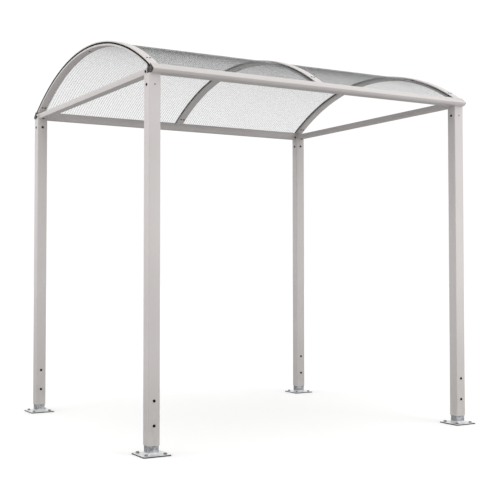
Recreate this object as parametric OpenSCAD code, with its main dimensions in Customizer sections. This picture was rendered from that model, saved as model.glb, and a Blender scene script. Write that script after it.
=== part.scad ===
// Open bike shelter: four posts, two eaves beams, two ties and three arched hoops under a curved roof.
// Millimetres, +Z up. Origin on the ground at the middle of the plan, X along the eaves, -Y is the front.

/* [Plan] */
// Distance between two neighbouring hoops
bay_length = 1265; // [900:5:1600]
// Distance between the front and the rear post centres
post_span = 2150; // [1600:5:2700]

/* [Feet] */
// Side of the square base plate
plate_side = 190; // [160:1:260]
// Thickness of the base plate
plate_thickness = 8; // [5:1:20]
// Size of the cut across each plate corner
plate_corner = 8; // [0:1:20]
// Distance between two anchor holes along a plate side
anchor_pitch = 130; // [110:1:160]
// Diameter of an anchor hole
anchor_hole_d = 14; // [8:0.5:20]
// Wall of the square stub
stub_wall = 4; // [2:0.5:8]
// Height of the stub above the ground
stub_top = 400; // [200:1:600]

/* [Posts] */
// Outside size of the square post
post_side = 80; // [70:1:120]
// Wall of the post
post_wall = 4; // [2:0.5:6]
// Outside corner radius of the post
post_corner = 5; // [4:0.5:10]
// Height of the lower end of the post
post_bottom = 60; // [30:1:150]
// Height of the upper end of the post
post_top = 2381; // [1800:1:2900]

/* [Corner fittings] */
// Thickness of the seat plate on the post
seat_thickness = 5; // [3:1:12]
// Depth of the spigot inside the post
spigot_depth = 120; // [60:1:250]
// Wall of the spigot
spigot_wall = 5; // [3:0.5:8]
// Distance from the top of a cheek down from the top of the tie
cheek_drop = 4; // [0:1:15]

/* [Ties and hoops] */
// Width of the ties, hoops and cover strips
frame_width = 60; // [40:1:66]
// Height of a tie
tie_height = 40; // [25:1:50]
// Wall of a tie
tie_wall = 3; // [1.5:0.5:6]
// Height of a hoop profile
hoop_height = 13; // [8:1:16]
// Wall of a hoop profile
hoop_wall = 2; // [1:0.5:3]

/* [Eaves beams] */
// Distance from the post centre line to the inner face of a beam
beam_inset = 5; // [0:1:15]
// Depth of a beam from its inner face to its nose
beam_depth = 88; // [75:1:140]
// Height of the inner face of a beam
beam_height = 60.5; // [55:0.5:90]
// Radius under the nose
nose_radius = 14; // [6:1:18]
// Height of the upper edge of the nose above the beam's underside
nose_height = 22; // [20:1:40]
// Distance the foot of the nose stands back from its upper edge
nose_lean = 16; // [0:1:20]
// Horizontal run of the sloping lip
lip_run = 46; // [30:1:60]
// Rise of the sloping lip
lip_rise = 40; // [30:1:60]
// Wall of a beam
beam_wall = 3; // [2:0.5:4]
// Thickness of an end cap
cap_thickness = 3; // [1:0.5:8]

/* [Roof] */
// Height of the roof's crown above its springing, measured under the sheets
roof_rise = 306; // [150:1:600]
// Thickness of a roof sheet
sheet_thickness = 10; // [6:1:16]
// Distance from the nose of a beam to the edge of a sheet in its slot
sheet_edge_inset = 24; // [15:1:30]
// Gap between the two sheets over the middle hoop
sheet_gap = 10; // [2:1:30]
// Thickness of a cover strip
strip_thickness = 9; // [2:0.5:12]
// Thickness of an edge seal
seal_thickness = 3; // [1:0.5:8]
// Distance the seal stays inside each face of the sheet
seal_inset = 1; // [0.5:0.5:2]
// Distance from the nose of a beam to the end of an edge seal
seal_end_inset = 56; // [50:1:90]

/* [Fits] */
// Clearance between pieces that slide into or lie along each other
fit_gap = 0.3; // [0.1:0.1:1]

/* [Hidden] */
$fn = 96;

// Faces in a full turn of the roof's large arcs
arc_faces = 360;
// How far a cutting shape runs past what it cuts
cut = 1;
// Smallest corner radius inside a tube
least_corner = 0.5;
// What the corner radius of a tube that slides into a post has over the post's own inside radius
corner_relief = 2;

paint = [0.83, 0.81, 0.80];
zinc = [0.66, 0.67, 0.68];
cast_paint = [0.78, 0.76, 0.75];
black = [0.08, 0.08, 0.08];
clear_sheet = [0.86, 0.90, 0.90, 0.5];

post_y = post_span / 2;
post_inside = post_side - 2 * post_wall;
insert_side = post_inside - 2 * fit_gap;
insert_corner = max(post_corner - post_wall, least_corner) + corner_relief;
half_length = bay_length + frame_width / 2;
seat_z = post_top + seat_thickness;
beam_in = post_y - beam_inset;
beam_out = beam_in + beam_depth;
spring_z = seat_z + beam_height;
roof_radius = (beam_in * beam_in + roof_rise * roof_rise) / (2 * roof_rise);
arc_z = spring_z + roof_rise - roof_radius;
sheet_top_radius = roof_radius + sheet_thickness;
sheet_edge = beam_out - sheet_edge_inset;
lip_y = beam_out - lip_run;
lip_length = sqrt(lip_run * lip_run + lip_rise * lip_rise);

// Height of an arc of radius r, about the roof's centre, at the distance y from the middle
function arc_height(r, y) = arc_z + sqrt(r * r - y * y);

// Where a point of the nose, at y if it stood upright, comes to at the height z
function nose_y(y, z) = y - (seat_z + nose_height - z) * nose_lean / nose_height;

// ---- shared shapes ----

// Square tube along Z with rounded outside corners
module square_tube(side, wall, corner, z0, z1) {
    difference() {
        translate([0, 0, z0]) linear_extrude(z1 - z0) rounded_square(side, corner);
        translate([0, 0, z0 - cut]) linear_extrude(z1 - z0 + 2 * cut)
            rounded_square(side - 2 * wall, max(corner - wall, least_corner));
    }
}

// Square with rounded corners, centred
module rounded_square(side, corner) {
    square([side, side - 2 * corner], center = true);
    square([side - 2 * corner, side], center = true);
    for (sx = [-1, 1], sy = [-1, 1])
        translate([sx * (side / 2 - corner), sy * (side / 2 - corner)]) circle(corner);
}

// A flat outline drawn in Y and Z, extruded along X from x0 to x1
module along_x(x0, x1) {
    translate([x0, 0, 0]) rotate([90, 0, 90]) linear_extrude(x1 - x0) children();
}

// Arched band between two radii about the roof's centre, cut upright at the distance y_end from the middle
module arch(r_in, r_out, y_end) {
    intersection() {
        translate([0, arc_z]) difference() {
            circle(r_out, $fn = arc_faces);
            circle(r_in, $fn = arc_faces);
        }
        translate([-y_end, arc_z]) square([2 * y_end, r_out + cut]);
    }
}

// Outline of an eaves beam, drawn on the +Y side, moved inwards by inset; its upper edge follows top_radius
module beam_outline(inset, top_radius) {
    y_in = beam_in + inset;
    y_out = beam_out - inset;
    y_lip = lip_y + inset;
    z_low = seat_z + inset;
    r = max(nose_radius - inset, least_corner);
    normal_y = lip_rise / lip_length;
    normal_z = lip_run / lip_length;
    nose_z = seat_z + nose_height;
    slope = lip_rise / lip_run;
    z_nose = nose_z - inset * (1 - normal_y) / normal_z;
    z_lip = z_nose + (y_out - y_lip) * slope;
    polygon(concat(
        [[y_in, z_low]],
        [for (a = [-90:15:0]) let (z = z_low + r + r * sin(a)) [nose_y(y_out - r + r * cos(a), z), z]],
        [[nose_y(y_out, z_nose), z_nose], [y_lip, z_lip], [y_lip, arc_height(top_radius, y_lip)],
         [y_in, arc_height(top_radius, y_in)]]
    ));
}

// Section of an eaves beam: walls, chamber and the slot for the sheets
module beam_section() {
    mid_radius = roof_radius + sheet_thickness / 2;
    slot_end = sheet_edge + fit_gap;
    difference() {
        beam_outline(0, mid_radius);
        arch(roof_radius - fit_gap, sheet_top_radius + fit_gap, slot_end);
        difference() {
            beam_outline(beam_wall, mid_radius);
            arch(roof_radius - fit_gap - beam_wall, sheet_top_radius + fit_gap + beam_wall,
                 slot_end + beam_wall);
        }
    }
}

// ---- sub-parts, drawn at the middle of the plan or on the +X, +Y corner ----

module foot() {
    color(zinc) {
        difference() {
            linear_extrude(plate_thickness) plate_outline();
            for (sx = [-1, 1], sy = [-1, 1])
                translate([sx * anchor_pitch / 2, sy * anchor_pitch / 2, -cut])
                    cylinder(d = anchor_hole_d, h = plate_thickness + 2 * cut);
        }
        square_tube(insert_side, stub_wall, insert_corner, plate_thickness, stub_top);
    }
}

module plate_outline() {
    h = plate_side / 2;
    c = plate_corner;
    polygon([[-h + c, -h], [h - c, -h], [h, -h + c], [h, h - c],
             [h - c, h], [-h + c, h], [-h, h - c], [-h, -h + c]]);
}

module post() {
    color(paint) square_tube(post_side, post_wall, post_corner, post_bottom, post_top);
}

// Seat plate, spigot and the two cheeks beside the tie; drawn about the post centre, inner side towards -Y
module corner_fitting() {
    cheek = (post_side - frame_width) / 2 - fit_gap;
    cheek_y0 = -post_side / 2;
    cheek_y1 = -beam_inset - fit_gap;
    color(cast_paint) {
        translate([0, 0, post_top]) linear_extrude(seat_thickness)
            rounded_square(post_side, post_corner);
        square_tube(insert_side, spigot_wall, insert_corner, post_top - spigot_depth, post_top);
        for (sx = [-1, 1])
            translate([sx > 0 ? post_side / 2 - cheek : -post_side / 2, cheek_y0, seat_z])
                cube([cheek, cheek_y1 - cheek_y0, tie_height - cheek_drop]);
    }
}

module eaves_beam() {
    color(paint) along_x(-half_length, half_length) beam_section();
}

module beam_cap() {
    color(black) along_x(half_length, half_length + cap_thickness)
        beam_outline(0, roof_radius);
}

module tie() {
    color(paint) translate([-frame_width / 2, -beam_in, seat_z]) difference() {
        cube([frame_width, 2 * beam_in, tie_height]);
        translate([tie_wall, -cut, tie_wall])
            cube([frame_width - 2 * tie_wall, 2 * (beam_in + cut), tie_height - 2 * tie_wall]);
    }
}

module hoop() {
    r_out = roof_radius - fit_gap;
    r_in = r_out - hoop_height;
    color(paint) difference() {
        along_x(-frame_width / 2, frame_width / 2) arch(r_in, r_out, beam_in);
        along_x(-frame_width / 2 + hoop_wall, frame_width / 2 - hoop_wall)
            arch(r_in + hoop_wall, r_out - hoop_wall, beam_in + cut);
    }
}

module cover_strip() {
    r_in = sheet_top_radius + fit_gap;
    color(paint) along_x(-frame_width / 2, frame_width / 2)
        arch(r_in, r_in + strip_thickness, lip_y - fit_gap);
}

module roof_sheet() {
    color(clear_sheet) along_x(sheet_gap / 2, half_length)
        arch(roof_radius, sheet_top_radius, sheet_edge);
}

module edge_seal() {
    color(black) along_x(half_length, half_length + seal_thickness)
        arch(roof_radius + seal_inset, sheet_top_radius - seal_inset, beam_out - seal_end_inset);
}

// ---- placing ----

// sx and sy are -1 for left and front, 1 for right and rear
module at_post(sx, sy) {
    translate([sx * bay_length, sy * post_y, 0]) mirror([0, sy < 0 ? 1 : 0, 0]) children();
}

module turned(sx, sy) {
    mirror([sx < 0 ? 1 : 0, 0, 0]) mirror([0, sy < 0 ? 1 : 0, 0]) children();
}

at_post(-1, -1) foot();  // foot_front_left
at_post(-1, 1) foot();  // foot_rear_left
at_post(1, -1) foot();  // foot_front_right
at_post(1, 1) foot();  // foot_rear_right
at_post(-1, -1) post();  // post_front_left
at_post(-1, 1) post();  // post_rear_left
at_post(1, -1) post();  // post_front_right
at_post(1, 1) post();  // post_rear_right
at_post(-1, -1) corner_fitting();  // corner_fitting_front_left
at_post(-1, 1) corner_fitting();  // corner_fitting_rear_left
at_post(1, -1) corner_fitting();  // corner_fitting_front_right
at_post(1, 1) corner_fitting();  // corner_fitting_rear_right
turned(1, -1) eaves_beam();  // eaves_beam_front
turned(1, 1) eaves_beam();  // eaves_beam_rear
turned(-1, -1) beam_cap();  // beam_cap_front_left
turned(-1, 1) beam_cap();  // beam_cap_rear_left
turned(1, -1) beam_cap();  // beam_cap_front_right
turned(1, 1) beam_cap();  // beam_cap_rear_right
translate([-bay_length, 0, 0]) tie();  // tie_left
translate([bay_length, 0, 0]) tie();  // tie_right
translate([-bay_length, 0, 0]) hoop();  // hoop_left
hoop();  // hoop_middle
translate([bay_length, 0, 0]) hoop();  // hoop_right
translate([-bay_length, 0, 0]) cover_strip();  // cover_strip_left
cover_strip();  // cover_strip_middle
translate([bay_length, 0, 0]) cover_strip();  // cover_strip_right
turned(-1, 1) roof_sheet();  // roof_sheet_left
turned(1, 1) roof_sheet();  // roof_sheet_right
turned(-1, 1) edge_seal();  // edge_seal_left
turned(1, 1) edge_seal();  // edge_seal_right
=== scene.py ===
import math

import bmesh
import bpy
from mathutils import Matrix, Vector


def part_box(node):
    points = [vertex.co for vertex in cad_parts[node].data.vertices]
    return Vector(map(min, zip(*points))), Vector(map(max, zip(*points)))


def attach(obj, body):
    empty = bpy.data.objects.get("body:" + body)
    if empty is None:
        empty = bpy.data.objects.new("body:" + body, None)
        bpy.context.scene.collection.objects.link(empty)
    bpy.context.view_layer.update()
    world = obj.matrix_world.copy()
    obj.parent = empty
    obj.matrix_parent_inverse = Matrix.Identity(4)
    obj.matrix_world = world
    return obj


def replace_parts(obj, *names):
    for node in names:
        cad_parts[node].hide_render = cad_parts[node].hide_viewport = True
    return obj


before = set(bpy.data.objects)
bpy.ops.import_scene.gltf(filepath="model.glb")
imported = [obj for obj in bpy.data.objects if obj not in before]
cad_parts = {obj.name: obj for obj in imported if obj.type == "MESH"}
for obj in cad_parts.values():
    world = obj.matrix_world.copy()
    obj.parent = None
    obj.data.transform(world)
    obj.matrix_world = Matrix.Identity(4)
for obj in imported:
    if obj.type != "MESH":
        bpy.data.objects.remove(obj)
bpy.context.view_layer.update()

# ---- Feet: plates and stubs -------------------------------------------------------------------
# Each post stands on a steel foot: a plate with four anchor holes and a square stub that goes up inside
# the post. The two are welded together all round, then dipped in molten zinc, which leaves a crystal
# pattern of light and dark patches on the plate.
CORNERS = [(side, end) for side in ("front", "rear") for end in ("left", "right")]
PLATE_TOP = 0.008
PLATE_EDGE_ROUND = 0.0008
PLATE_SPANGLE, STUB_SPANGLE, EDGE_SHADE_SPANGLE = 0.011, 0.009, 0.005
SPANGLE_RELIEF, SPANGLE_DEPTH = 0.25, 0.0003
PLATE_LIGHT, PLATE_DARK = (0.93, 0.94, 0.94, 1), (0.70, 0.71, 0.72, 1)
STUB_LIGHT, STUB_DARK = (0.48, 0.49, 0.51, 1), (0.15, 0.155, 0.17, 1)
# The edge tones are painted shade, not a zinc colour: they turn the plate's sawn sides near black.
PAINTED_EDGE_SHADE_PALE, PAINTED_EDGE_SHADE_DEEP = (0.13, 0.13, 0.135, 1), (0.06, 0.06, 0.065, 1)
EDGE_SHADE_TO_PLATE = (PLATE_TOP - 0.0012, PLATE_TOP - 0.0004)
PLATE_TO_STUB = (PLATE_TOP + 0.001, PLATE_TOP + 0.016)


def new_group(name, inputs, outputs):
    """An empty shader group with its sockets, as (group, input node, output node)."""
    group = bpy.data.node_groups.new(name, "ShaderNodeTree")
    for socket, kind, value in inputs:
        made = group.interface.new_socket(socket, in_out="INPUT", socket_type=kind)
        made.default_value = value
    for socket, kind in outputs:
        group.interface.new_socket(socket, in_out="OUTPUT", socket_type=kind)
    entry = group.nodes.new("NodeGroupInput")
    end = group.nodes.new("NodeGroupOutput")
    return group, entry, end


def object_noise(nodes, links, scale, detail=2.0, stretch=(1, 1, 1)):
    """A noise over the piece's own coordinates; scale is a number or a socket."""
    place = nodes.new("ShaderNodeTexCoord")
    turn = nodes.new("ShaderNodeMapping")
    turn.inputs["Scale"].default_value = stretch
    noise = nodes.new("ShaderNodeTexNoise")
    noise.inputs["Detail"].default_value = detail
    links.new(place.outputs["Object"], turn.inputs["Vector"])
    links.new(turn.outputs["Vector"], noise.inputs["Vector"])
    if isinstance(scale, (int, float)):
        noise.inputs["Scale"].default_value = scale
    else:
        links.new(scale, noise.inputs["Scale"])
    return noise.outputs["Fac"]


def blend_colours(nodes, links, share, first, second):
    """Mixes two colours by share; each is a colour or a socket."""
    mix = nodes.new("ShaderNodeMix")
    mix.data_type = "RGBA"
    links.new(share, mix.inputs["Factor"])
    for value, socket in ((first, mix.inputs["A"]), (second, mix.inputs["B"])):
        if isinstance(value, bpy.types.NodeSocket):
            links.new(value, socket)
        else:
            socket.default_value = value
    return mix.outputs["Result"]


def stretch_range(nodes, links, value, low, high, to_low, to_high):
    """Maps value from low..high to to_low..to_high; the last two are numbers or sockets."""
    ranged = nodes.new("ShaderNodeMapRange")
    links.new(value, ranged.inputs["Value"])
    ranged.inputs["From Min"].default_value = low
    ranged.inputs["From Max"].default_value = high
    for target, socket in ((to_low, ranged.inputs["To Min"]), (to_high, ranged.inputs["To Max"])):
        if isinstance(target, bpy.types.NodeSocket):
            links.new(target, socket)
        else:
            socket.default_value = target
    return ranged.outputs["Result"]


def zinc_spangle_group():
    """The crystal pattern of dipped zinc: colour, roughness and height."""
    group, entry, end = new_group(
        "zinc_spangle",
        [("Crystal Size", "NodeSocketFloat", PLATE_SPANGLE), ("Light", "NodeSocketColor", PLATE_LIGHT),
         ("Dark", "NodeSocketColor", PLATE_DARK)],
        [("Colour", "NodeSocketColor"), ("Roughness", "NodeSocketFloat"), ("Height", "NodeSocketFloat")],
    )
    nodes, links = group.nodes, group.links
    per_metre = nodes.new("ShaderNodeMath")
    per_metre.operation = "DIVIDE"
    per_metre.inputs[0].default_value = 1
    links.new(entry.outputs["Crystal Size"], per_metre.inputs[1])
    place = nodes.new("ShaderNodeTexCoord")
    crystals = nodes.new("ShaderNodeTexVoronoi")
    links.new(place.outputs["Object"], crystals.inputs["Vector"])
    links.new(per_metre.outputs[0], crystals.inputs["Scale"])
    tone = nodes.new("ShaderNodeSeparateColor")
    links.new(crystals.outputs["Color"], tone.inputs["Color"])
    runs = object_noise(nodes, links, 28.0, 4.0, (1, 1, 0.35))
    tinted = blend_colours(nodes, links, tone.outputs["Red"],
                           entry.outputs["Dark"], entry.outputs["Light"])
    dulled = stretch_range(nodes, links, runs, 0.42, 0.62, 0.0, 0.5)
    links.new(blend_colours(nodes, links, dulled, tinted, entry.outputs["Dark"]), end.inputs["Colour"])
    links.new(stretch_range(nodes, links, tone.outputs["Green"], 0, 1, 0.3, 0.52),
              end.inputs["Roughness"])
    links.new(tone.outputs["Blue"], end.inputs["Height"])
    return group


def new_material(name, **plain):
    """A material with its Principled shader; plain sets the sockets that are the same all over."""
    material = bpy.data.materials.new(name)
    material.use_nodes = True
    shader = material.node_tree.nodes["Principled BSDF"]
    for socket, value in plain.items():
        shader.inputs[socket.replace("_", " ")].default_value = value
    return material, material.node_tree.nodes, material.node_tree.links, shader


def add_bump(nodes, links, shader, height, strength, distance):
    """Feeds the shader's normal from a height."""
    bump = nodes.new("ShaderNodeBump")
    bump.inputs["Strength"].default_value = strength
    bump.inputs["Distance"].default_value = distance
    links.new(height, bump.inputs["Height"])
    links.new(bump.outputs["Normal"], shader.inputs["Normal"])


def place_group(nodes, group, **values):
    """Puts a group into a material with its own values."""
    node = nodes.new("ShaderNodeGroup")
    node.node_tree = group
    for socket, value in values.items():
        node.inputs[socket.replace("_", " ")].default_value = value
    return node


ZINC_SPANGLE = zinc_spangle_group()


def foot_zinc():
    """Dipped zinc that is light on the plate and dull on the stub; painted shade turns the plate's sawn
    edges near black.
    """
    material, nodes, links, shader = new_material("dipped_zinc_with_edge_shade", Metallic=0.55)
    place = nodes.new("ShaderNodeTexCoord")
    height = nodes.new("ShaderNodeSeparateXYZ")
    links.new(place.outputs["Object"], height.inputs["Vector"])
    # Painted shade: below the plate's top the colour turns to the near-black edge tones.
    above_edge_shade = stretch_range(nodes, links, height.outputs["Z"], *EDGE_SHADE_TO_PLATE, 0, 1)
    above_plate = stretch_range(nodes, links, height.outputs["Z"], *PLATE_TO_STUB, 0, 1)
    plate, stub, edge = (place_group(nodes, ZINC_SPANGLE, Crystal_Size=size, Light=light, Dark=dark)
                         for size, light, dark in ((PLATE_SPANGLE, PLATE_LIGHT, PLATE_DARK),
                                                   (STUB_SPANGLE, STUB_LIGHT, STUB_DARK),
                                                   (EDGE_SHADE_SPANGLE, PAINTED_EDGE_SHADE_PALE, PAINTED_EDGE_SHADE_DEEP)))
    low = blend_colours(nodes, links, above_edge_shade, edge.outputs["Colour"], plate.outputs["Colour"])
    links.new(blend_colours(nodes, links, above_plate, low, stub.outputs["Colour"]),
              shader.inputs["Base Color"])
    links.new(plate.outputs["Roughness"], shader.inputs["Roughness"])
    add_bump(nodes, links, shader, plate.outputs["Height"], SPANGLE_RELIEF, SPANGLE_DEPTH)
    return material


FOOT_ZINC = foot_zinc()


def finish(name, bm, material, sharp_from=35):
    """Makes a finished bmesh a piece of the shelter, smooth except at edges over sharp_from degrees."""
    mesh = bpy.data.meshes.new(name)
    bm.to_mesh(mesh)
    bm.free()
    mesh.shade_smooth()
    mesh.set_sharp_from_angle(angle=math.radians(sharp_from))
    mesh.materials.append(material)
    piece = bpy.data.objects.new(name, mesh)
    bpy.context.scene.collection.objects.link(piece)
    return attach(piece, "root")


def softened(node, edge_round, material, segments=2):
    """A copy of a CAD piece with its hard edges rounded, which is then shown in that piece's place."""
    bm = bmesh.new()
    bm.from_mesh(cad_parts[node].data)
    bmesh.ops.remove_doubles(bm, verts=bm.verts, dist=0.00001)
    bmesh.ops.dissolve_limit(bm, angle_limit=math.radians(0.5), verts=bm.verts, edges=bm.edges)
    hard = [e for e in bm.edges if e.is_manifold and e.calc_face_angle(0) > math.radians(40)]
    bmesh.ops.bevel(bm, geom=hard, offset=edge_round, offset_type="OFFSET", segments=segments,
                    profile=0.5, affect="EDGES", clamp_overlap=True, material=-1)
    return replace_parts(finish(node + "_finished", bm, material), node)


for side, end in CORNERS:
    softened(f"foot_{side}_{end}", PLATE_EDGE_ROUND, FOOT_ZINC)

# ---- Feet: welds ------------------------------------------------------------------------------
# A bead of weld metal runs round the stub where it meets the plate. It was laid in short overlapping
# drops, so it is a row of flattened beads.
BEAD_RADIUS = 0.0042
BEAD_STEP = 0.0052
BEAD_FLATNESS = 0.8
BEAD_LIFT = 0.0012
POST_WALL_AND_GAP = 0.0043


def post_centre(side, end):
    low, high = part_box(f"post_{side}_{end}")
    return (low + high) / 2


def stub_half_width():
    """Half the width of a stub: the post's half width less its wall and the sliding gap."""
    post_low, post_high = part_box("post_front_left")
    return (post_high.x - post_low.x) / 2 - POST_WALL_AND_GAP


def add_bead(bm, at):
    shape = Matrix.Translation(at) @ Matrix.Diagonal((1, 1, BEAD_FLATNESS, 1))
    bmesh.ops.create_uvsphere(bm, u_segments=8, v_segments=6, radius=BEAD_RADIUS, matrix=shape)


for side, end in CORNERS:
    centre = post_centre(side, end)
    half = stub_half_width()
    drops = round(2 * half / BEAD_STEP)
    bm = bmesh.new()
    for quarter in range(4):
        turn = Matrix.Rotation(quarter * math.pi / 2, 3, "Z")
        for step in range(drops):
            along = -half + 2 * half * step / drops
            at = turn @ Vector((along, -half, 0))
            add_bead(bm, Vector((centre.x + at.x, centre.y + at.y, PLATE_TOP + BEAD_LIFT)))
    finish(f"weld_{side}_{end}", bm, FOOT_ZINC, sharp_from=80)

# ---- Feet: ground anchors ---------------------------------------------------------------------
# Four hexagon head anchors hold each plate down. Each has a round washer under its head, and both are
# zinc plated, so they are duller and finer grained than the dipped plate.
UP = Vector((0, 0, 1))
ANCHOR_REACH = 0.065
WASHER_RADIUS, WASHER_THICKNESS, WASHER_EDGE = 0.012, 0.0025, 0.0005
HEX_RADIUS, HEX_HEIGHT = 0.011, 0.0075
HEX_CHAMFER = 0.0012
PLATED_SPANGLE = 0.0012
PLATED_LIGHT, PLATED_DARK = (0.34, 0.34, 0.34, 1), (0.20, 0.20, 0.20, 1)


def zinc_finish(name, crystal_size, light, dark):
    """A zinc skin of one crystal size and two tones all over."""
    material, nodes, links, shader = new_material(name, Metallic=0.85)
    zinc = place_group(nodes, ZINC_SPANGLE, Crystal_Size=crystal_size, Light=light, Dark=dark)
    links.new(zinc.outputs["Colour"], shader.inputs["Base Color"])
    links.new(zinc.outputs["Roughness"], shader.inputs["Roughness"])
    add_bump(nodes, links, shader, zinc.outputs["Height"], SPANGLE_RELIEF, SPANGLE_DEPTH)
    return material


PLATED_ZINC = zinc_finish("plated_zinc", PLATED_SPANGLE, PLATED_LIGHT, PLATED_DARK)


def add_disc(bm, at, radius, height, segments, edge, turned=0.0):
    """A disc or a hexagon standing on at, with its upper edge taken off."""
    stand = Matrix.Translation(at + UP * height / 2) @ Matrix.Rotation(turned, 4, "Z")
    made = bmesh.ops.create_cone(bm, cap_ends=True, segments=segments, radius1=radius,
                                 radius2=radius, depth=height, matrix=stand)
    top = at.z + height - 0.00001
    rim = {e for v in made["verts"] for e in v.link_edges if min(w.co.z for w in e.verts) > top}
    bmesh.ops.bevel(bm, geom=list(rim), offset=edge, segments=2, profile=0.5, affect="EDGES",
                    clamp_overlap=True, material=-1)


for side, end in CORNERS:
    centre = post_centre(side, end)
    bm = bmesh.new()
    for dx in (-1, 1):
        for dy in (-1, 1):
            seat = Vector((centre.x + dx * ANCHOR_REACH, centre.y + dy * ANCHOR_REACH, PLATE_TOP))
            add_disc(bm, seat, WASHER_RADIUS, WASHER_THICKNESS, 28, WASHER_EDGE)
            hex_seat = seat + UP * WASHER_THICKNESS
            turned = math.radians(20 * dx + 7 * dy)
            add_disc(bm, hex_seat, HEX_RADIUS, HEX_HEIGHT, 6, HEX_CHAMFER, turned)
    finish(f"anchors_{side}_{end}", bm, PLATED_ZINC, sharp_from=25)

# ---- Posts ------------------------------------------------------------------------------------
# The posts are square steel tubes with rounded corners. They are powder coated in a warm light grey:
# the powder flows into a skin with a fine orange-peel surface, and rain splashes leave a little dust
# on the lowest stretch.
POST_EDGE_ROUND = 0.0007
POST_PAINT = (0.70, 0.665, 0.655, 1)
SPLASH_TOP = 0.55
DUST = (0.50, 0.475, 0.42, 1)
PEEL_PER_METRE, PEEL_DEPTH = 420.0, 0.00012
GLOSS = (0.36, 0.5)


def powder_skin_group():
    """The skin of a powder coat: colour with faint clouds and splash dust, roughness, and peel."""
    group, entry, end = new_group(
        "powder_skin",
        [("Paint", "NodeSocketColor", POST_PAINT), ("Dust", "NodeSocketColor", DUST),
         ("Splash Top", "NodeSocketFloat", SPLASH_TOP),
         ("Peel Per Metre", "NodeSocketFloat", PEEL_PER_METRE),
         ("Gloss Low", "NodeSocketFloat", GLOSS[0]), ("Gloss High", "NodeSocketFloat", GLOSS[1])],
        [("Colour", "NodeSocketColor"), ("Roughness", "NodeSocketFloat"), ("Height", "NodeSocketFloat")],
    )
    nodes, links = group.nodes, group.links
    clouds = object_noise(nodes, links, 2.2, 5.0)
    shade = nodes.new("ShaderNodeHueSaturation")
    links.new(entry.outputs["Paint"], shade.inputs["Color"])
    links.new(stretch_range(nodes, links, clouds, 0.3, 0.7, 0.965, 1.03), shade.inputs["Value"])
    place = nodes.new("ShaderNodeTexCoord")
    height = nodes.new("ShaderNodeSeparateXYZ")
    links.new(place.outputs["Object"], height.inputs["Vector"])
    share = nodes.new("ShaderNodeMath")
    share.operation = "DIVIDE"
    links.new(height.outputs["Z"], share.inputs[0])
    links.new(entry.outputs["Splash Top"], share.inputs[1])
    nearness = stretch_range(nodes, links, share.outputs[0], 0.0, 1.0, 0.42, 0.0)
    specks = object_noise(nodes, links, 34.0, 6.0, (1, 1, 0.4))
    patches = stretch_range(nodes, links, specks, 0.38, 0.66, 0.25, 1.0)
    settled = nodes.new("ShaderNodeMath")
    settled.operation = "MULTIPLY"
    links.new(nearness, settled.inputs[0])
    links.new(patches, settled.inputs[1])
    links.new(blend_colours(nodes, links, settled.outputs[0], shade.outputs["Color"],
                            entry.outputs["Dust"]), end.inputs["Colour"])
    links.new(stretch_range(nodes, links, clouds, 0.3, 0.7, entry.outputs["Gloss Low"],
                            entry.outputs["Gloss High"]), end.inputs["Roughness"])
    links.new(object_noise(nodes, links, entry.outputs["Peel Per Metre"], 2.0), end.inputs["Height"])
    return group


POWDER_SKIN = powder_skin_group()


def powder_coat(name, paint, peel_per_metre=PEEL_PER_METRE, gloss=GLOSS, peel_depth=PEEL_DEPTH):
    material, nodes, links, shader = new_material(name, Specular_IOR_Level=0.45)
    skin = place_group(nodes, POWDER_SKIN, Paint=paint, Peel_Per_Metre=peel_per_metre,
                       Gloss_Low=gloss[0], Gloss_High=gloss[1])
    links.new(skin.outputs["Colour"], shader.inputs["Base Color"])
    links.new(skin.outputs["Roughness"], shader.inputs["Roughness"])
    add_bump(nodes, links, shader, skin.outputs["Height"], 0.35, peel_depth)
    return material


FRAME_PAINT = powder_coat("frame_powder_coat", POST_PAINT)

for side, end in CORNERS:
    softened(f"post_{side}_{end}", POST_EDGE_ROUND, FRAME_PAINT)

# ---- Post bolts -------------------------------------------------------------------------------
# Round button head bolts with a hexagon socket hold the posts on the stubs and the corner fittings in
# the post tops. They are blackened steel. The one that locks a fitting from outside is smaller and zinc
# plated.
BOLT_RADIUS, BOLT_HEIGHT = 0.0096, 0.0046
BOLT_SOCKET = 0.0031
LOWER_BOLTS = (0.184, 0.338)
TOP_BOLT = 2.316
LOCK_BOLT_RADIUS, LOCK_BOLT_HEIGHT, LOCK_BOLT_SOCKET = 0.0052, 0.0024, 0.0019


def black_steel(name, colour, roughness):
    material, nodes, links, shader = new_material(name, Metallic=0.1, Specular_IOR_Level=0.12)
    wear = object_noise(nodes, links, 700.0, 3.0)
    links.new(blend_colours(nodes, links, wear, colour, tuple(2.2 * c for c in colour[:3]) + (1,)),
              shader.inputs["Base Color"])
    links.new(stretch_range(nodes, links, wear, 0.3, 0.7, roughness - 0.08, roughness + 0.1),
              shader.inputs["Roughness"])
    add_bump(nodes, links, shader, wear, 0.2, 0.0001)
    return material


BOLT_BLACK = black_steel("blackened_steel", (0.010, 0.009, 0.009, 1), 0.55)


def ring_of(face):
    return [loop.vert for loop in face.loops]


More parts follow.
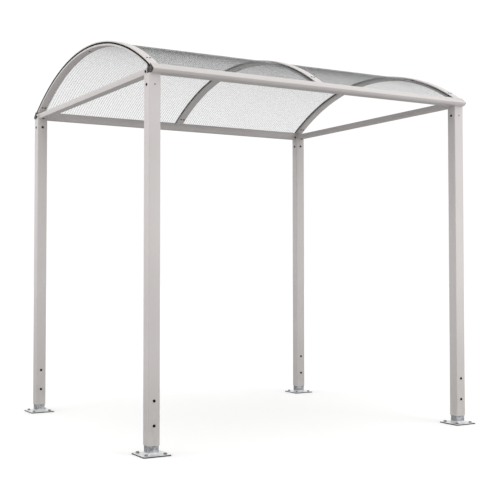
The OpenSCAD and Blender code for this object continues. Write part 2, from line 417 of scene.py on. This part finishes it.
def add_button_head(bm, at, outward, radius, height, socket, segments=24):
    """A domed bolt head with a hexagon socket, seated at at and facing outward."""
    made = bmesh.ops.create_circle(bm, cap_ends=True, segments=segments, radius=radius)
    face = made["verts"][0].link_faces[0]
    if face.normal.z < 0:
        face.normal_flip()
    whole = set(made["verts"])
    steps = 4
    flat = socket * 1.35
    for step in range(steps + 1):
        up = math.radians(90 * step / (steps + 1))
        wide = flat + (radius - flat) * math.cos(up)
        lift = height * (0.25 + 0.75 * math.sin(up))
        grown = bmesh.ops.extrude_discrete_faces(bm, faces=[face])
        face = grown["faces"][0]
        ring = ring_of(face)
        whole.update(ring)
        now = max(v.co.to_2d().length for v in ring)
        for v in ring:
            v.co = Vector((v.co.x * wide / now, v.co.y * wide / now, lift))
    for sink, shrink in ((0.0, 1.0), (0.62 * height, 0.98)):
        face = bmesh.ops.extrude_discrete_faces(bm, faces=[face])["faces"][0]
        for v in ring_of(face):
            angle = math.atan2(v.co.y, v.co.x) % math.radians(60) - math.radians(30)
            flat_side = socket * shrink / math.cos(angle)
            v.co = Vector((v.co.x, v.co.y, 0)).normalized() * flat_side + UP * (v.co.z - sink)
            whole.add(v)
    seat_edges = {e for v in made["verts"] for e in v.link_edges if e.is_boundary}
    bmesh.ops.holes_fill(bm, edges=list(seat_edges), sides=segments)
    bmesh.ops.recalc_face_normals(bm, faces=list({f for v in whole for f in v.link_faces}))
    aim = UP.rotation_difference(outward).to_matrix().to_4x4()
    bmesh.ops.transform(bm, matrix=Matrix.Translation(at) @ aim, verts=list(whole))


LEFT, RIGHT = Vector((-1, 0, 0)), Vector((1, 0, 0))
FORWARD, BACK = Vector((0, -1, 0)), Vector((0, 1, 0))

for side, end in CORNERS:
    centre = post_centre(side, end)
    low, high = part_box(f"post_{side}_{end}")
    reach = (high.x - low.x) / 2
    bm = bmesh.new()
    for way in (FORWARD, BACK):
        for z in LOWER_BOLTS:
            at = Vector((centre.x, centre.y, z)) + way * reach
            add_button_head(bm, at, way, BOLT_RADIUS, BOLT_HEIGHT, BOLT_SOCKET)
    top = Vector((centre.x, centre.y, TOP_BOLT))
    outward, inward = (FORWARD, BACK) if side == "front" else (BACK, FORWARD)
    for way in (LEFT, RIGHT, inward):
        add_button_head(bm, top + way * reach, way, BOLT_RADIUS, BOLT_HEIGHT, BOLT_SOCKET)
    finish(f"post_bolts_{side}_{end}", bm, BOLT_BLACK, sharp_from=30)
    bm = bmesh.new()
    add_button_head(bm, top + outward * reach, outward, LOCK_BOLT_RADIUS, LOCK_BOLT_HEIGHT,
                    LOCK_BOLT_SOCKET, segments=18)
    finish(f"lock_bolt_{side}_{end}", bm, PLATED_ZINC, sharp_from=30)

# ---- Corner fittings --------------------------------------------------------------------------
# A cast aluminium fitting is bolted into each post top. Its seat carries the eaves beam, and its two
# cheeks stand beside the tie. The casting is coated like the frame, and its skin is a little coarser.
CHEEK_BOLT_Z = 2.401
CHEEK_BOLT_FROM_CENTRE = 0.017
CAST_EDGE_ROUND = 0.0016
CAST_PAINT = powder_coat("cast_powder_coat", (0.69, 0.655, 0.645, 1), 260.0, (0.42, 0.56), 0.0002)

for side, end in CORNERS:
    fitting = f"corner_fitting_{side}_{end}"
    softened(fitting, CAST_EDGE_ROUND, CAST_PAINT, segments=3)
    centre = post_centre(side, end)
    low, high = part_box(fitting)
    inward = 1 if side == "front" else -1
    bm = bmesh.new()
    for way, face_x in ((LEFT, low.x), (RIGHT, high.x)):
        at = Vector((face_x, centre.y + inward * CHEEK_BOLT_FROM_CENTRE, CHEEK_BOLT_Z))
        add_button_head(bm, at, way, BOLT_RADIUS, BOLT_HEIGHT, BOLT_SOCKET)
    finish(f"cheek_bolts_{side}_{end}", bm, BOLT_BLACK, sharp_from=30)

# ---- Eaves beams ------------------------------------------------------------------------------
# The eaves beams are extruded aluminium: a hollow box with a rounded nose, a sloping lip on top and a
# slot that takes the roof sheets. They are cut square at both ends and powder coated.
EAVES_EDGE_ROUND = 0.0009
EAVES_PAINT = powder_coat("eaves_powder_coat", (0.71, 0.675, 0.665, 1), 520.0, (0.34, 0.46))

for side in ("front", "rear"):
    softened(f"eaves_beam_{side}", EAVES_EDGE_ROUND, EAVES_PAINT)

# ---- Beam end caps ----------------------------------------------------------------------------
# Moulded plastic plates close the beam ends. They have the beam's outline and softly rounded edges, and
# are held by two small screws near the nose.
CAP_EDGE_ROUND = 0.0011
CAP_SCREWS = ((1.122, 2.4165), (1.1165, 2.3985))
CAP_SCREW_RADIUS, CAP_SCREW_HEIGHT, CAP_SCREW_SOCKET = 0.0048, 0.0016, 0.0016


def moulded_plastic(name, colour, roughness, shine=0.3):
    material, nodes, links, shader = new_material(name, Specular_IOR_Level=shine)
    texture = object_noise(nodes, links, 1300.0, 3.0)
    clouds = object_noise(nodes, links, 60.0, 3.0)
    links.new(blend_colours(nodes, links, clouds, colour, tuple(1.5 * c for c in colour[:3]) + (1,)),
              shader.inputs["Base Color"])
    links.new(stretch_range(nodes, links, clouds, 0.3, 0.7, roughness - 0.06, roughness + 0.08),
              shader.inputs["Roughness"])
    add_bump(nodes, links, shader, texture, 0.4, 0.00015)
    return material


CAP_PLASTIC = moulded_plastic("cap_plastic", (0.030, 0.026, 0.025, 1), 0.5)

for side, end in CORNERS:
    cap = f"beam_cap_{side}_{end}"
    softened(cap, CAP_EDGE_ROUND, CAP_PLASTIC, segments=3)
    low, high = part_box(cap)
    way, face_x = (LEFT, low.x) if end == "left" else (RIGHT, high.x)
    front_or_rear = -1 if side == "front" else 1
    bm = bmesh.new()
    for y, z in CAP_SCREWS:
        add_button_head(bm, Vector((face_x, front_or_rear * y, z)), way, CAP_SCREW_RADIUS,
                        CAP_SCREW_HEIGHT, CAP_SCREW_SOCKET, segments=18)
    finish(f"cap_screws_{side}_{end}", bm, PLATED_ZINC, sharp_from=30)

# ---- Ties -------------------------------------------------------------------------------------
# A rectangular steel tube runs from the front beam to the rear beam at each end, resting on the corner
# fittings. Two bolts per tie come up through its underside near the posts.
DOWN = Vector((0, 0, -1))
TIE_EDGE_ROUND = 0.0022
TIE_BOLT_FROM_POST = 0.060

for end in ("left", "right"):
    tie = f"tie_{end}"
    softened(tie, TIE_EDGE_ROUND, FRAME_PAINT, segments=3)
    low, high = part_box(tie)
    bm = bmesh.new()
    for side, inward in (("front", 1), ("rear", -1)):
        y = post_centre(side, end).y + inward * TIE_BOLT_FROM_POST
        at = Vector(((low.x + high.x) / 2, y, low.z))
        add_button_head(bm, at, DOWN, BOLT_RADIUS, BOLT_HEIGHT, BOLT_SOCKET)
    finish(f"tie_bolts_{end}", bm, BOLT_BLACK, sharp_from=30)

# ---- Hoops ------------------------------------------------------------------------------------
# Three flat hollow aluminium profiles are rolled to the roof's curve and butt against the beams. Small
# screws come through their underside, a pair near each foot and one at the crown.
HOOP_EDGE_ROUND = 0.0012
HOOP_SCREW_RADIUS, HOOP_SCREW_HEIGHT, ROOF_SCREW_SOCKET = 0.0075, 0.0034, 0.0018
HOOP_SCREW_SPREAD = 0.0125
HOOP_SCREW_Y = 1.005
SEAL_HEIGHT, SEAL_INSET = 0.008, 0.001
ROOF_PAINT = powder_coat("roof_profile_powder_coat", (0.73, 0.70, 0.69, 1), 520.0, (0.34, 0.46))


def arc_through(low, high):
    """Centre height and radius of the arc over a box's full depth that rises from low.z to high.z."""
    half, rise = (high.y - low.y) / 2, high.z - low.z
    radius = (half * half + rise * rise) / (2 * rise)
    return high.z - radius, radius


def roof_arc():
    """Height of the roof's centre line, and the radius of the sheets' underside."""
    low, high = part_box("edge_seal_left")
    ends = [v.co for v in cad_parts["edge_seal_left"].data.vertices if abs(v.co.y - low.y) < 1e-5]
    lowest = min(v.z for v in ends)
    inner = Vector((0, low.y, lowest)), Vector((0, high.y, high.z - SEAL_HEIGHT))
    centre_z, radius = arc_through(*inner)
    return centre_z, radius - SEAL_INSET


ARC_Z, SHEET_RADIUS = roof_arc()
HOOP_GAP, HOOP_HEIGHT = 0.0003, 0.013
HOOP_SOFFIT = SHEET_RADIUS - HOOP_GAP - HOOP_HEIGHT


def on_arc(x, y, radius):
    """A point on a roof arc, and the direction out of the arc there."""
    height = math.sqrt(radius * radius - y * y)
    return Vector((x, y, ARC_Z + height)), Vector((0, y, height)).normalized()


for name in ("left", "middle", "right"):
    hoop = f"hoop_{name}"
    softened(hoop, HOOP_EDGE_ROUND, ROOF_PAINT)
    low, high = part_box(hoop)
    middle = (low.x + high.x) / 2
    bm = bmesh.new()
    spots = [(middle + dx * HOOP_SCREW_SPREAD, dy * HOOP_SCREW_Y) for dx in (-1, 1) for dy in (-1, 1)]
    for x, y in spots + [(middle, 0.0)]:
        at, out = on_arc(x, y, HOOP_SOFFIT)
        add_button_head(bm, at, -out, HOOP_SCREW_RADIUS, HOOP_SCREW_HEIGHT, ROOF_SCREW_SOCKET,
                        segments=18)
    finish(f"hoop_screws_{name}", bm, BOLT_BLACK, sharp_from=30)

# ---- Roof sheets ------------------------------------------------------------------------------
# The roof is two sheets of extruded polycarbonate with an upper and a lower skin. Thin webs between the
# skins run along the curve, and make the fine lines that show from below. The sheets are cold bent and
# slide into the slots of the beams.
SHEET_THICKNESS = 0.010
WEB_PITCH = 0.020
WEB_THICKNESS = 0.001
SKIN_THICKNESS = 0.0006
SHEET_STEPS = 72
# The second of these tones is painted shade: the near-black colour given where a sheet is seen almost
# edge on.
SHEET_TONE, SHEET_GRAZING_SHADE = (0.28, 0.292, 0.292, 1), (0.03, 0.032, 0.032, 1)
WEB_TONE = (0.22, 0.23, 0.23, 1)
SHEET_SHADE = 0.42


def clear_plastic(name, tone, grazing_shade_tone, density, roughness, haze_straight, haze_along=None):
    """Polycarbonate: it takes more of the light the flatter it is looked through, and painted shade
    darkens its colour there towards near black.

    Looked straight at it takes haze_straight; a web looked at along its height takes haze_along."""
    material, nodes, links, shader = new_material(name, Specular_IOR_Level=0.08)
    weight = nodes.new("ShaderNodeLayerWeight")
    weight.inputs["Blend"].default_value = 0.5
    last = weight.outputs["Facing"]
    for step, left in (("SUBTRACT", 1.0), ("MAXIMUM", 0.01), ("DIVIDE", -density), ("EXPONENT", None),
                       ("SUBTRACT", 1.0)):
        maths = nodes.new("ShaderNodeMath")
        maths.operation = step
        if left is not None:
            maths.inputs[0].default_value = left
        links.new(last, maths.inputs[0 if left is None else 1])
        last = maths.outputs[0]
    least = stretch_range(nodes, links, weight.outputs["Facing"], 0.0, 0.16, haze_straight, 0.0)
    if haze_along is not None:
        place = nodes.new("ShaderNodeTexCoord")
        facing_way = nodes.new("ShaderNodeSeparateXYZ")
        links.new(place.outputs["Normal"], facing_way.inputs["Vector"])
        sideways = nodes.new("ShaderNodeMath")
        sideways.operation = "ABSOLUTE"
        links.new(facing_way.outputs["X"], sideways.inputs[0])
        least = stretch_range(nodes, links, sideways.outputs[0], 0.2, 0.8, haze_along, 0.0)
    last = stretch_range(nodes, links, last, 0, 1, least, 1)
    path = nodes.new("ShaderNodeLightPath")
    shaded = stretch_range(nodes, links, last, 0, 1, SHEET_SHADE, 1)
    alpha = nodes.new("ShaderNodeMix")
    links.new(path.outputs["Is Camera Ray"], alpha.inputs["Factor"])
    links.new(shaded, alpha.inputs["A"])
    links.new(last, alpha.inputs["B"])
    links.new(alpha.outputs["Result"], shader.inputs["Alpha"])
    haze = object_noise(nodes, links, 5.0, 4.0)
    clouded = blend_colours(nodes, links, haze, tone, tuple(1.12 * c for c in tone[:3]) + (1,))
    # Painted shade: the colour darkens towards the grazing tone where the surface is seen almost edge
    # on.
    grazing_shade_share = stretch_range(nodes, links, weight.outputs["Facing"], 0.8, 0.93, 0, 1)
    links.new(blend_colours(nodes, links, grazing_shade_share, clouded, grazing_shade_tone), shader.inputs["Base Color"])
    links.new(stretch_range(nodes, links, haze, 0.3, 0.7, roughness, roughness + 0.08),
              shader.inputs["Roughness"])
    return material


SKIN_PLASTIC = clear_plastic("polycarbonate_skin", SHEET_TONE, SHEET_GRAZING_SHADE, 0.043, 0.16, 0.11)
WEB_PLASTIC = clear_plastic("polycarbonate_web", WEB_TONE, WEB_TONE, 0.030, 0.25, 0.0, 0.7)


def roll_round(bm, sections, y_end, steps):
    """Rolls flat sections, drawn upright over the crown, into closed arches between the slots."""
    furthest = max(v.co.z for face in sections for v in face.verts) - ARC_Z
    half_turn = math.asin(y_end / furthest)
    drawn = list({v for face in sections for v in face.verts})
    axis_point = (0, 0, ARC_Z)
    bmesh.ops.rotate(bm, verts=drawn, cent=axis_point, matrix=Matrix.Rotation(half_turn, 3, "X"))
    bmesh.ops.duplicate(bm, geom=sections)
    bmesh.ops.spin(bm, geom=sections, cent=axis_point, axis=(1, 0, 0), angle=-2 * half_turn,
                   steps=steps, use_duplicate=False)
    bmesh.ops.remove_doubles(bm, verts=bm.verts, dist=0.00001)
    bmesh.ops.recalc_face_normals(bm, faces=bm.faces)


def upright_section(bm, x_low, x_high, r_low, r_high):
    """A rectangular section over the crown, from x_low to x_high and from radius r_low to r_high."""
    corners = ((x_low, r_low), (x_high, r_low), (x_high, r_high), (x_low, r_high))
    return bm.faces.new([bm.verts.new((x, 0, ARC_Z + r)) for x, r in corners])


for end in ("left", "right"):
    low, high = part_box(f"roof_sheet_{end}")
    sheet_top = SHEET_RADIUS + SHEET_THICKNESS
    bm = bmesh.new()
    roll_round(bm, [upright_section(bm, low.x, high.x, SHEET_RADIUS, sheet_top)], high.y, SHEET_STEPS)
    skins = finish(f"sheet_skins_{end}", bm, SKIN_PLASTIC)
    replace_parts(skins, f"roof_sheet_{end}")

    bm = bmesh.new()
    count = int((high.x - low.x) / WEB_PITCH)
    first = (low.x + high.x) / 2 - WEB_PITCH * (count - 1) / 2
    places = [first + web * WEB_PITCH for web in range(count)]
    webs = [upright_section(bm, x - WEB_THICKNESS / 2, x + WEB_THICKNESS / 2,
                            SHEET_RADIUS + SKIN_THICKNESS, sheet_top - SKIN_THICKNESS) for x in places]
    roll_round(bm, webs, high.y, SHEET_STEPS)
    finish(f"sheet_webs_{end}", bm, WEB_PLASTIC)

# ---- Cover strips -----------------------------------------------------------------------------
# An aluminium strip is screwed down over each hoop and holds the sheets between them. A pair of screws
# shows near each end.
STRIP_EDGE_ROUND = 0.0025
STRIP_SCREW_RADIUS, STRIP_SCREW_HEIGHT = 0.0062, 0.0028
STRIP_SCREW_SPREAD, STRIP_SCREW_Y = 0.011, 1.017

for name in ("left", "middle", "right"):
    strip = f"cover_strip_{name}"
    softened(strip, STRIP_EDGE_ROUND, ROOF_PAINT, segments=3)
    low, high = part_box(strip)
    middle = (low.x + high.x) / 2
    top_radius = high.z - ARC_Z
    bm = bmesh.new()
    for dx in (-1, 1):
        for dy in (-1, 1):
            at, out = on_arc(middle + dx * STRIP_SCREW_SPREAD, dy * STRIP_SCREW_Y, top_radius)
            add_button_head(bm, at, out, STRIP_SCREW_RADIUS, STRIP_SCREW_HEIGHT, ROOF_SCREW_SOCKET,
                            segments=18)
    finish(f"strip_screws_{name}", bm, BOLT_BLACK, sharp_from=30)

# ---- Edge seals -------------------------------------------------------------------------------
# A black rubber strip covers the outer edge of each sheet. It follows the sheet's curve and stays just
# inside its two faces.
SEAL_EDGE_ROUND = 0.0012
SEAL_RUBBER = moulded_plastic("seal_rubber", (0.006, 0.006, 0.006, 1), 0.8, shine=0.08)

for end in ("left", "right"):
    softened(f"edge_seal_{end}", SEAL_EDGE_ROUND, SEAL_RUBBER, segments=3)

# ---- Studio -----------------------------------------------------------------------------------
# A plain pale floor, a white surround that gives most of the light, and two large soft lamps at head
# height: one at the left and one at the front right. The floor looks whiter than the light it sends on.
FLOOR_RADIUS = 60
FLOOR_SEEN, FLOOR_BOUNCE = 1.08, 0.36
SURROUND_SEEN, SURROUND_LIGHT = 1.02, 1.0


def seen_or_lit(nodes, links, seen, lit):
    """The shader seen when the eye meets it directly, and lit for the light that it sends on."""
    path = nodes.new("ShaderNodeLightPath")
    mix = nodes.new("ShaderNodeMixShader")
    links.new(path.outputs["Is Camera Ray"], mix.inputs["Fac"])
    links.new(lit, mix.inputs[1])
    links.new(seen, mix.inputs[2])
    return mix.outputs["Shader"]


bm = bmesh.new()
bmesh.ops.create_circle(bm, cap_ends=True, segments=64, radius=FLOOR_RADIUS,
                        matrix=Matrix.Translation((0, 0, -0.0005)))
floor_mesh = bpy.data.meshes.new("floor")
bm.to_mesh(floor_mesh)
bm.free()
floor = bpy.data.objects.new("floor", floor_mesh)
bpy.context.scene.collection.objects.link(floor)
floor_material = bpy.data.materials.new("pale_floor")
floor_material.use_nodes = True
nodes, links = floor_material.node_tree.nodes, floor_material.node_tree.links
nodes.remove(nodes["Principled BSDF"])
seen, lit = nodes.new("ShaderNodeBsdfDiffuse"), nodes.new("ShaderNodeBsdfDiffuse")
seen.inputs["Color"].default_value = (FLOOR_SEEN, FLOOR_SEEN, FLOOR_SEEN, 1)
lit.inputs["Color"].default_value = (FLOOR_BOUNCE, FLOOR_BOUNCE, FLOOR_BOUNCE, 1)
links.new(seen_or_lit(nodes, links, seen.outputs[0], lit.outputs[0]),
          nodes["Material Output"].inputs["Surface"])
floor_mesh.materials.append(floor_material)

world = bpy.data.worlds.new("surround")
bpy.context.scene.world = world
world.use_nodes = True
nodes, links = world.node_tree.nodes, world.node_tree.links
seen, lit = nodes["Background"], nodes.new("ShaderNodeBackground")
seen.inputs["Color"].default_value = (1, 1, 1, 1)
seen.inputs["Strength"].default_value = SURROUND_SEEN
lit.inputs["Color"].default_value = (1, 0.995, 0.99, 1)
lit.inputs["Strength"].default_value = SURROUND_LIGHT
links.new(seen_or_lit(nodes, links, seen.outputs[0], lit.outputs[0]),
          nodes["World Output"].inputs["Surface"])

LAMPS = (
    ("lamp_left", (-5.4, 0.4, 1.8), (0, 0.2, 1.2), 3.0, 2.6, 32),
    ("lamp_front_right", (3.0, -5.4, 1.8), (0.8, 0, 1.2), 3.0, 2.6, 62),
)
for name, at, towards, wide, high, watts in LAMPS:
    lamp = bpy.data.lights.new(name, "AREA")
    lamp.shape = "RECTANGLE"
    lamp.size, lamp.size_y = wide, high
    lamp.energy = watts
    holder = bpy.data.objects.new(name, lamp)
    holder.location = at
    holder.rotation_euler = (Vector(towards) - Vector(at)).to_track_quat("-Z", "Y").to_euler()
    holder.visible_camera = False
    bpy.context.scene.collection.objects.link(holder)

# ---- Camera -----------------------------------------------------------------------------------
# It stands at chest height in front of the left end, and looks a little upwards.
EYE = (-3.8672, -6.6438, 1.1556)
LOOK_UP, LOOK_RIGHT = 1.924, 29.761
LENS = 70.35
SHIFT_RIGHT, SHIFT_UP = 0.0351, -0.0274
camera_data = bpy.data.cameras.new("camera")
camera_data.lens = LENS
camera_data.shift_x, camera_data.shift_y = SHIFT_RIGHT, SHIFT_UP
camera = bpy.data.objects.new("camera", camera_data)
camera.location = EYE
camera.rotation_euler = (math.radians(90 + LOOK_UP), 0, math.radians(-LOOK_RIGHT))
bpy.context.scene.collection.objects.link(camera)
bpy.context.scene.camera = camera
bpy.context.scene.view_settings.view_transform = "Standard"
bpy.context.scene.cycles.transparent_max_bounces = 32
